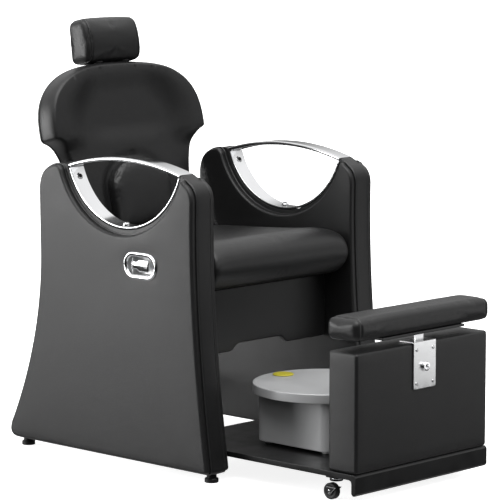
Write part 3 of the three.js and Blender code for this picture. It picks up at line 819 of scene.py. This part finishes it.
def both_edges(edge, middle=PANEL_MID):
    """A rim from its (inset, distance from the middle) pairs down to the middle, mirrored."""
    return ([(amount, middle - away) for amount, away in edge] + [(0, middle)]
            + [(amount, middle + away) for amount, away in edge[::-1]])


def prism(low, high):
    """The sides between two loops of points, and a face over the first."""
    count = len(low)
    return [*low, *high], [tuple(range(count))] + quads(0, count, count)


BAND_RADIUS, RAIL_RADIUS = 219.7, 750
band_end, rail_half = math.asin(75.2 / BAND_RADIUS), math.asin(210.6 / RAIL_RADIUS)
band_ring = strip(NOTCH, BAND_RADIUS, 214.2, math.pi + band_end, 2 * math.pi - band_end)
rail_ring = strip((NOTCH[0], 817 - RAIL_RADIUS), RAIL_RADIUS, RAIL_RADIUS - 10.5,
                  math.pi / 2 - rail_half, math.pi / 2 + rail_half)

for side, sign in SIDES:
    def place(u, v, w, sign=sign):
        return pt(sign * w, u, v)

    hole = [stadium(109, 58)] if side == "right" else []
    core_rim = [(1.4, 280.4), (0.5, 280.9), (0.05, 282.2)]
    core_rim += [(-0.9 * math.sin(math.pi * t), 282.2 + 45.6 * t)
                 for t in (0.12, 0.3, 0.5, 0.7, 0.88)]
    core_rim += [(0.05, 327.8), (0.5, 329.1), (1.4, 329.6)]
    core = slab(f"core_wrap_{side}", panel_outline(0, 221.6), place, core_rim, HIDE, "frame",
                (f"side_core_{side}",), spacing=40)
    if side == "right":
        ring = stadium(108.4, 57.4)
        well, walls = prism([pt(-331, u, v) for u, v in ring], [pt(-317.6, u, v) for u, v in ring])
        carve(core, (well, walls + [tuple(range(2 * len(ring) - 1, len(ring) - 1, -1))]))

    pad_ring = soften(panel_outline(3.2, 235.2))
    outer = slab(f"outer_pad_wrap_{side}", pad_ring, place,
                 rounding(8.5, 330.3, 348.4, small=3.5, steps=8), HIDE, "frame",
                 (f"outer_pad_{side}",), holes=hole, crown=puffed(1.6, 40), spacing=14)
    inner = slab(f"inner_pad_wrap_{side}", pad_ring, place,
                 rounding(6.5, 279.7, 262.0, small=2.5, steps=8), HIDE, "frame",
                 (f"inner_pad_{side}",), crown=puffed(-1.6, 40),
                 spacing=18)
    welt_ring = inset(soften(panel_outline(0.4, 233.4)), 1.1)
    for where, depth in (("outer", 330.4), ("inner", 279.6)):
        path = resample([place(u, v, depth) for u, v in welt_ring], 4)
        welt = tube(f"{where}_welt_{side}", path, 2.1, "frame")

    for name, ring, edge, node in (
            ("notch_lining", band_ring, [(2.1, 25), (1.1, 24.7), (0.4, 24.1), (0, 22.8)],
             "notch_band"),
            ("arm_bar", rail_ring, [(4.2, 25), (2.6, 24.5), (1.2, 23.6), (0.4, 22.2), (0, 20.4)],
             "arm_rail")):
        smooth_by_angle(slab(f"{name}_{side}", ring, place, both_edges(edge), CHROME, "frame",
                             (f"{node}_{side}",), spacing=400), 34)
    for label, angle in (("rear", -27), ("low", -86), ("front", -153)):
        turn = math.radians(angle)
        tall = label == "low"           # the low one is a standoff
        spot = pt(sign * PANEL_MID, NOTCH[0] + 214.3 * math.cos(turn),
                  NOTCH[1] + 214.3 * math.sin(turn))
        inward = Vector((0, -math.cos(turn), -math.sin(turn)))
        screw(f"band_washer_{label}_{side}", spot, inward, 9.5, "frame", socket=False,
              height=8.0 if tall else 1.8)
        screw(f"band_screw_{label}_{side}", spot + inward * (7.4 if tall else 1.4) * MM, inward,
              5.8, "frame", PAINT, height=2.4 if tall else 3.8)

# ---------------- recline handle

def right_face(u, v, w):
    return pt(-w, u, v)


def handle_rings(ring, profile):
    return [[right_face(u, v, w) for u, v in inset(ring, a)] for a, w in profile]


trim = [(0, 348.2), (0, 349.8), (0.8, 351.3), (2.4, 352.2), (4.6, 352.5), (7.6, 352.2),
        (10.4, 351.2), (12.0, 349.6), (12.6, 347.2), (12.4, 344.0), (10.6, 344.0), (5, 348.2),
        (0, 348.2)]
bezel = loft("handle_trim", handle_rings(stadium(122, 71), trim), CHROME, "frame",
             ("handle_bezel",), closed_ends=False)
smooth_by_angle(bezel, 50)
cup_ring = stadium(107, 56)
rings = handle_rings(cup_ring, [(0, 347.4), (1.8, 347.4), (2.1, 338), (2.4, 326), (4.4, 321.5),
                                (9, 320.2), (26.5, 320.0)])
shell = handle_rings(cup_ring, [(0, 322)])
# The well and its floor take the paler, painted-light copy of the satin steel.
cup = loft("handle_well", rings[::-1] + shell + rings[:1], WELL_PAINTED_LIGHT, "frame", ("handle_cup",),
           closed_ends=False)
cup_floor = make("handle_well_floor", *prism(rings[-1], handle_rings(cup_ring, [(26.5, 318.4)])[0]),
                 WELL_PAINTED_LIGHT, "frame")
smooth_by_angle(cup, 50)
join(cup, cup_floor)

paddle_path = Path(248, 533, 2.5)
for y, z in ((248, 553), (226, 553), (226, 559), (186, 559), (186, 527), (226, 527), (226, 533),
             (248, 533)):
    paddle_path.line(y, z)
paddle_ring = soften(paddle_path.closed(), reach=3.4, rounds=14)
paddle = slab("release_paddle_plate", paddle_ring, right_face,
              [(0.9, 340.2), (0.2, 340.6), (0, 341.6), (0, 343.6), (0.3, 344.8), (1.2, 345.6),
               (2.8, 346)],
              CHROME, "release_paddle", ("handle_paddle",),
              crown=puffed(1.2, 5), spacing=5)
hinge = pt(-340, 248, HANDLE[1])
barrel = turned("release_barrel", two_ends([(0, -10), (5.0, -10), (5.5, -9.5)]), hinge, (0, 0, 1),
                CHROME, "release_paddle", count=32)
join(paddle, barrel)
turned("release_pin", two_ends([(0, -22), (2.2, -22), (2.5, -21.6)]), hinge, (0, 0, 1), SATIN,
       "frame", ("paddle_pin",), count=20)

# ---------------- seat and apron

seat_path = Path(518, 501.2, 5)
seat_path.line(518, 556).curve(516, 574, 494, 576).curve(380, 582, 230, 590, 150, 597)
seat_path.curve(110, 601, 74, 602, 54, 594).curve(25, 583, 20, 545)
seat_path.curve(20, 496, 60, 476, 113, 474).line(117, 484)
seat_path.line(117, 501.2).line(518, 501.2)
seat_ring = inset(soften(seat_path.closed(), reach=8, rounds=12), 1.0)


def seat_place(x, u, v):
    """The seat sags a little at its ends and is hollow where one sits."""
    high = max(0.0, min(1.0, (v - 505) / 60))
    sag = 9 * high * max(0, (abs(x) - 165) / 92) ** 2
    hollow = 9 * smoothstep(95, 200, u) * high * (1 - smoothstep(110, 240, abs(x)))
    return pt(x, u, v - sag - hollow)


def seat_hold(p):
    """The seat's underside and front lip stay where they are in the cloth run."""
    low, high = (0.5015, 0.515) if p[1] + Y0 > 0.11 else (0.474, 0.5)
    return smoothstep(low, high, p[2])


rings = along_bar(seat_ring, 258.4, 15, (0, 0.8, 2, 4, 7, 11, 15, 22, 32, 46, 62),
                  range(180, -1, -20), seat_place)
seat = loft("seat_cushion_cover", rings, SOFT, "frame", ("seat_cushion",))
inflate(seat, voxel=6, hold=seat_hold)


def front_face(u, v, w):
    return pt(u, w, v)


apron_path = Path(-259, 301, 6)
apron_path.line(-106, 301).line(-85, 320).line(85, 320).line(106, 301).line(259, 301)
apron_path.line(259, 471).line(-259, 471).line(-259, 301)
apron = slab("front_apron_cover", soften(apron_path.closed(), reach=6, rounds=10), front_face,
             rounding(4, 133.8, 117.4, small=1.0, steps=5), HIDE, "frame", ("front_apron",),
             crown=puffed(-1.2, 30), spacing=18)

# ---------------- backrest

CROWN_POWER = 2.65                  # how square the backrest's rounded top is
FRONT_ROUND = 13.0                  # rounding of the backrest's front edge


def back_outline(amount):
    a = amount
    crown = []
    for i in range(61):
        t = (i / 60) * math.pi / 2
        crown.append(((290 - a) * math.cos(t) ** (2 / CROWN_POWER),
                      315 + (187 - a) * math.sin(t) ** (2 / CROWN_POWER)))
    path = Path(0, 18 + a, 5.0)
    path.line(186, 18 + a).curve(214 - a, 18 + a, 215 - a, 48).line(218 - a, 175)
    path.curve(230 - a, 250, 250 - a, 288 + a, 289 - a, 296 + a)
    for u, v in crown + [(-u, v) for u, v in crown[::-1]]:
        if math.hypot(u - path.points[-1][0], v - path.points[-1][1]) > 4:
            path.line(u, v)
    path.line(-289 + a, 296 + a).curve(-250 + a, 288 + a, -230 + a, 250, -218 + a, 175)
    path.line(-215 + a, 48).curve(-214 + a, 18 + a, -186, 18 + a).line(0, 18 + a)
    return path.closed()


def wing(u, v):
    """How far the front stands forward in the wings and shoulders."""
    edge = ((abs(u) / 290) ** CROWN_POWER
            + (max(0, v - 315) / 187) ** CROWN_POWER) ** (1 / CROWN_POWER)
    return -20 * smoothstep(0.5, 0.86, edge) * smoothstep(70, 190, abs(u)) * smoothstep(255, 300, v)


def back_front(u, v):
    along = smoothstep(270, 330, v) * (1 - smoothstep(420, 480, v))
    return -13 + wing(u, v) + 5 * (1 - smoothstep(60, 200, abs(u))) * along


outline = soften(back_outline(0), degrees=30, reach=5, rounds=8)
verts, faces = [], []
count = len(outline)
rim = [(3.5, 0.0), (1.2, 0.04), (0.2, 0.1), (0, 0.22), (0, 0.34)]
for i in range(1, 11):
    a = math.pi / 2 * i / 10
    rim.append((FRONT_ROUND * (1 - math.cos(a)), 0.34 + 0.66 * math.sin(a)))
rings = [inset(outline, a) for a, _ in rim]
for ring, (_, t) in zip(rings, rim):
    verts += [lean(u, 25 + t * (back_front(u, v) - 25), v) for u, v in ring]
for j in range(len(rim) - 1):
    faces += quads(j * count, (j + 1) * count, count)
flat, triangles = fill(rings[-1], (), 11)
gap = nearest(flat, rings[-1])[0]
start = len(verts)
verts += [lean(u, back_front(u, v) - 2.5 * (1 - math.exp(-g / 30)), v)
          for (u, v), g in zip(flat, gap)]
faces += [tuple(start + i for i in t) for t in triangles]
flat, triangles = fill(rings[0], (), 40)
start = len(verts)
verts += [lean(u, 25, v) for u, v in flat]
faces += [tuple(start + i for i in t) for t in triangles]
cushion = make("backrest_cover", verts, faces, SOFT, "backrest", ("backrest_cushion",), weld=2e-5)
for _, sign in SIDES:
    crease = [lean(sign * 117, -12, 30 + 116 * t) for t in np.linspace(0, 1, 30)]
    arch = [lean(sign * 117 * math.cos(t), -12, 146 + 93 * math.sin(t))
            for t in np.linspace(0, math.pi / 2, 40)]
    press(cushion, crease + arch, 9, 7.0, closed=False)


def back_face(u, v, w):
    return lean(u, w, v)


shell = slab("backrest_back_cover", soften(back_outline(2.2), degrees=30, reach=5, rounds=8),
             back_face, rounding(9, 25.5, 36.8, small=2.0, steps=7), HIDE, "backrest",
             ("backrest_shell",), crown=puffed(1.6, 35), spacing=16)
path = resample([lean(u, 25.3, v) for u, v in inset(outline, 1.6)], 5)
welt = tube("backrest_welt", path, 2.2, "backrest")

arch = Path(-92, 35, 5)
arch.line(92, 35).curve(112, 35, 112, 65).line(112, 146)
for i in range(1, 37):
    t = math.pi * i / 36
    arch.line(112 * math.cos(t), 146 + 87 * math.sin(t))
arch.line(-112, 65).curve(-112, 35, -92, 35)
lumbar = slab("lumbar_cover", arch.closed(), back_face, rounding(17, -13.6, -41, small=3, steps=9),
              SOFT, "backrest", ("lumbar_cushion",), crown=puffed(-4.0, 28), spacing=10)


def lumbar_hold(p):
    """Only the front of the lumbar cushion moves in the cloth run."""
    depth = -(p[1] + Y0 - 0.56) * math.cos(LEAN) + (p[2] - 0.545) * math.sin(LEAN)
    return smoothstep(0.014, 0.024, depth)


inflate(lumbar, voxel=4.5, cap=4, hold=lumbar_hold)

# ---------------- headrest

head_ring = spline([(0, 505.6), (24, 504.4), (46, 504.8), (62, 509), (66.5, 522), (64, 560),
                    (58.5, 598), (53, 617), (42, 625.5), (22, 626.5), (2, 625), (-11, 616),
                    (-18, 596), (-20, 568),
                    (-18, 538), (-11, 515)], 8)
rings = along_bar(head_ring, 104.0, 20.0, (0, 0.8, 2.2, 4.5, 7.5, 11, 15, 20, 28),
                  range(66, -1, -11), lean)
headrest = loft("headrest_cover", rings, SOFT, "headrest", ("headrest_cushion",))
inflate(headrest, voxel=4, cap=3.5)
for label, x in (("right", -89), ("left", 89)):
    loop = resample([lean(x, u, v) for u, v in head_ring], 4)
    press(headrest, loop, 4, 1.8)
    welt = tube(f"headrest_welt_{label}", surface_path(headrest, loop, 0.4), 1.7, "headrest")
up = lean(0, 0, 1) - lean(0, 0, 0)
for side, sign in SIDES:
    foot = lean(sign * 50, 12, 0)
    turned(f"head_post_{side}", [(0, 400), (5.4, 400), (6, 401), (6, 580), (0, 580)], foot, up,
           SATIN, "headrest", (f"headrest_post_{side}",), count=32)
    turned(f"head_sleeve_{side}",
           [(6.4, 440), (11, 440), (11, 502.3), (14.4, 502.3), (15, 502.9), (15, 504.6),
            (14.3, 505.3), (6.4, 505.3), (6.4, 440)], foot, up, BLACK, "backrest",
           (f"headrest_sleeve_{side}",), count=32)

# ---------------- tray, block and bar

tray_path = Path(-450, 22, 6)
tray_path.line(-435, 22).line(-435, 51).curve(-435, 61, -425, 61).line(226, 61).line(226, 75)
tray_path.line(-450, 75).line(-450, 22)


def along_x(u, v, w):
    return pt(w, u, v)


tray_ring = soften(tray_path.closed(), degrees=40, reach=2.5, rounds=6)
tray = slab("tray_board_edged", tray_ring, along_x,
            both_edges([(1.2, 258), (0.35, 257.7), (0, 256.9), (0, 120)], 0), LAMINATE, "tray",
            ("tray_platform",), spacing=400)
smooth_by_angle(tray, 30)


def pad_block(name, lo, hi, r, crown, body, replaces, cells=22):
    """A padded box: big-radius edges, each face but the lowest gently crowned."""
    size = [hi[i] - lo[i] for i in range(3)]

    def line(length):
        edge = [0, 0.12, 0.3, 0.55, 0.8, 1.0]
        inner = np.linspace(0, 1, max(3, int((length - 2 * r) / cells)))
        full = [-length / 2 + r * e for e in edge]
        full += [-length / 2 + r + (length - 2 * r) * t for t in inner[1:-1]]
        full += [length / 2 - r * e for e in edge[::-1]]
        return full

    axes = [line(s) for s in size]
    half = [s / 2 for s in size]
    middle = [(lo[i] + hi[i]) / 2 for i in range(3)]
    verts, faces = [], []
    for axis in range(3):
        p, q = [(1, 2), (2, 0), (0, 1)][axis]
        for way in (-1, 1):
            start = len(verts)
            for a in axes[p]:
                for b in axes[q]:
                    v = [0.0, 0.0, 0.0]
                    v[axis], v[p], v[q] = way * half[axis], a, b
                    core = [max(-half[i] + r, min(half[i] - r, v[i])) for i in range(3)]
                    out = Vector([v[i] - core[i] for i in range(3)])
                    out.normalize()
                    puff = crown
                    for i in (p, q):
                        puff *= max(0.0, 1 - (abs(v[i]) / half[i]) ** 4)
                    if axis == 2 and way < 0:
                        puff = 0
                    verts.append(pt(*[core[i] + out[i] * r + (way * puff if i == axis else 0)
                                      + middle[i] for i in range(3)]))
            cols = len(axes[q])
            for i in range(len(axes[p]) - 1):
                for j in range(cols - 1):
                    a = start + i * cols + j
                    faces.append((a, a + 1, a + cols + 1, a + cols))
    return make(name, verts, faces, HIDE, body, replaces, weld=1e-5)


block = pad_block("footrest_block_cover", (-255.9, -449.4, 75.6), (255.9, -355.6, 378.5), 8, 0.5,
                  "tray", ("footrest_block",))
carve(block, box(-17, 17, -441, -422, 208, 396), box(-8, 8, -474, -440, 310, 326))

bar_ring = rounded_rect(-455, 406.6, -350, 463, 17, 4)
rings = along_bar(bar_ring, 263, 19.0, (0, 0.8, 2.2, 4.5, 7.5, 11, 15, 19, 25, 33),
                  range(200, -1, -20), pt)
bar = loft("bar_cushion_cover", rings, SOFT, "footrest_bar", ("bar_cushion",))
inflate(bar, voxel=4.5, cap=3.5, hold=lambda p: smoothstep(0.407, 0.418, p[2]))
for x in (-243, 243):
    press(bar, resample([pt(x, u, v) for u, v in bar_ring], 4), 3.2, 2.6)

board = make("bar_base_board", *box(-160, 160, -451, -357, 400.6, 407), BLACK, "footrest_bar",
             smooth=False)
bevel(board, 1.0, 2)

# bracket plate, its screws, the clamp and the sliding post
plate_ring = rounded_rect(-43, 262, 43, 382.2, 2.5, 4)
plate = slab("bracket_face", plate_ring, front_face,
             [(0.3, -450.3), (0, -450.6), (0, -452.6), (0.3, -453.1), (0.9, -453.3)], BRUSHED,
             "tray", ("bracket_plate",), holes=[circle(0, 318, 4.6, 24)], spacing=30)
smooth_by_angle(plate, 34)
flange = make("bracket_flange", *box(-43, 43, -453, -406, 379.4, 382.3), BRUSHED, "tray",
              smooth=False)
bevel(flange, 0.6, 2)
carve(flange, box(-15.8, 15.8, -436, -429, 374, 388))
for ix, x in enumerate((-32, 32)):
    for iz, z in enumerate((276, 362)):
        screw(f"plate_screw_{ix}{iz}", pt(x, -453.2, z), (0, -1, 0), 4.8, "tray",
              slot="satin_steel", height=1.8)
knob = [(0, -424), (4, -424), (4, -440), (4, -453.8), (11.2, -453.8), (12, -454.6), (12, -459.8),
        (11.2, -461), (9.6, -461.2), (6.4, -461.2), (6.0, -456.2), (0, -456.0)]
turned("clamp_knob", knob, pt(0, 0, 318), (0, 1, 0), CHROME, "bar_clamp", ("clamp_bolt",))

# ---------------- basin

tub_ring = rounded_rect(-132, -249, 132, 15, 34, 5)
profile = [(3, 83), (0.8, 83.8), (0, 86), (0, 120), (0, 160), (0, 200), (0, 231), (0.4, 231.6),
           (1, 231.7), (3.4, 231.7), (4, 231.2), (4, 200), (4, 140), (4, 92), (7, 88), (14, 87)]
rings = [[pt(u, v, z) for u, v in inset(tub_ring, a)] for a, z in profile]
tub = loft("basin_tub_body", rings, GREY, "tray", ("basin_tub",))
smooth_by_angle(tub, 40)
for ix, x in enumerate((-100, 100)):
    for iy, y in enumerate((-217, -17)):
        turned(f"tub_foot_{ix}{iy}", [(0, 75.3), (14.5, 75.3), (16, 76.2), (16, 83.6), (0, 83.6)],
               pt(x, y, 0), (0, 0, 1), GREY, "tray", count=32)
lid_profile = [(0, 232), (185.6, 232), (186.2, 231.4), (186.4, 213.4), (187, 212.6), (189.2, 212.5),
               (190, 213.4), (190, 233.4), (189.2, 235.4), (187.4, 236.5), (182.4, 236.5),
               (180.4, 236.0),
               (178.6, 235.2), (176.4, 235.0), (60, 235.0), (0, 235.0)]
turned("basin_lid_disc", lid_profile, pt(0, -117, 0), (0, 0, 1), GREY, "lid", ("basin_lid",),
       count=128, sharp=50)
turned("lid_cap_disc",
       [(0, 235.3), (27.4, 235.3), (28, 236), (28, 237.4), (27, 238.6), (24.6, 239.2),
        (23.4, 239.8), (21, 240), (9, 240), (8, 239.4), (0, 239.4)],
       pt(0, 33, 0), (0, 0, 1), YELLOW, "lid", ("lid_cap",), count=64, sharp=50)

# ---------------- casters and feet

def caster_wheel(name, x, y, body, node):
    tyre = two_ends([(12, -7), (14.5, -8.6), (18.6, -9), (20.2, -8.2), (21, -6.4)])
    rim = two_ends([(3.3, -8.6), (6, -8.6), (6.6, -7.6), (12.2, -6.8)])
    wheel, hub = [turned(label, ring + ring[:1], pt(x, y, WHEEL), (1, 0, 0), material, body, nodes,
                         "caster_tyre", count, sharp)
                  for label, ring, material, nodes, count, sharp in (
                      (name, tyre, TYRE, (node,), 48, 55),
                      (name + "_hub", rim, CHROME, (), 40, 32))]
    return join(wheel, hub)


def cheek_ring(top, reach):
    """The side of a caster fork, from its axle up to its top."""
    path = Path(6, -4, 1.6)
    path.line(9, 12).line(9, top).line(-reach, top).line(-6, -4).curve(0, -10, 6, -4)
    return path.closed() + np.array([0.0, WHEEL])


for side, sign in SIDES:
    x = sign * 239
    for kind, y, body, top, reach, node in (
            ("front", -355, f"front_caster_{side}", 11.4, 22, f"caster_fork_{side}"),
            ("rear", 190, "tray", 17.2, 9, f"rear_fork_{side}")):
        pieces = [slab(f"{kind}_cheek_{label}_{side}", cheek_ring(top, reach),
                       lambda u, v, w, x=x, y=y: pt(x + w, y + u, v),
                       [(0.4, x0), (0, x0 + 0.4), (0, x1 - 0.4), (0.4, x1)], CHROME, body,
                       (node,) if label == "a" else (), spacing=30)
                  for label, x0, x1 in (("a", -12.5, -10), ("b", 10, 12.5))]
        axle = two_ends([(0, -14.6), (3.4, -14.6), (4.6, -13.6), (4.6, -12.4), (2.9, -12.4)])
        pieces.append(turned(f"{kind}_axle_{side}", axle, pt(x, y, WHEEL), (1, 0, 0), CHROME, body,
                             count=24))
        if kind == "front":
            race = [(0, 50.0), (15.8, 50.0), (17, 50.8), (17, 55.2), (16, 56.2), (13, 58.0),
                    (5, 58.1), (5, 60.2), (0, 60.2)]
            pieces.append(turned(f"swivel_race_{side}", race, pt(x, -370, 0), (0, 0, 1), CHROME,
                                 body))
        else:
            top_plate = make(f"rear_top_{side}", *box(x - 13, x + 13, y - 20, y + 20, 58.2, 60.6),
                             CHROME, body, smooth=False)
            pieces.append(bevel(top_plate, 0.7, 2))
        join(smooth_by_angle(pieces[0], 34), *pieces[1:])
        caster_wheel(f"{kind}_roller_{side}_tyre", x, y, f"{kind}_roller_{side}",
                     f"{kind}_wheel_{side}")
    for kind, y in (("front", 0), ("rear", 700)):
        turned(f"{kind}_leveller_{side}",
               [(0, 0), (17, 0), (18, 1), (18, 9.4), (17, 10.8), (14.6, 11.6), (13, 12.4),
                (13, 22.6), (0, 22.6)], pt(sign * PANEL_MID, y, 0), (0, 0, 1), BLACK, "frame",
               (f"{kind}_foot_{side}",))

# ---------------- carried-over CAD nodes

FINISH = ((PLY, ("seat_board",)),
          (PAINT, ("front_cross_tube", "middle_cross_tube", "rear_cross_tube", "lower_cross_tube",
                   "backrest_frame", "recline_bearing_right", "recline_bearing_left",
                   "gas_spring_tube")),
          (SATIN, ("gas_spring_rod",)), (BLACK, ("release_head", "release_cable")),
          (BRUSHED, ("bar_post",)), (CHROME, ("caster_plate_right", "caster_plate_left")))
for material, names in FINISH:
    for name in names:
        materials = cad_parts[name].data.materials
        materials.clear()
        materials.append(material)

# ---------------- floor

mesh = bpy.data.meshes.new("floor")
reach = 60.0
mesh.from_pydata([(-reach, -reach, 0), (reach, -reach, 0), (reach, reach, 0), (-reach, reach, 0)],
                 [], [(0, 1, 2, 3)])
floor = bpy.data.objects.new("floor", mesh)
scene.collection.objects.link(floor)
mesh.materials.append(moulded("pale_floor", (0.86, 0.86, 0.86), (0.88, 0.88, 0.88), 0.75, 40.0,
                              0.0001, level=0.1))
glow = mesh.materials[0].node_tree.nodes["Principled BSDF"]
glow.inputs["Emission Color"].default_value = (1, 1, 1, 1)
glow.inputs["Emission Strength"].default_value = 0.86
floor.location.z = -0.0006
floor.visible_glossy = floor.visible_diffuse = False
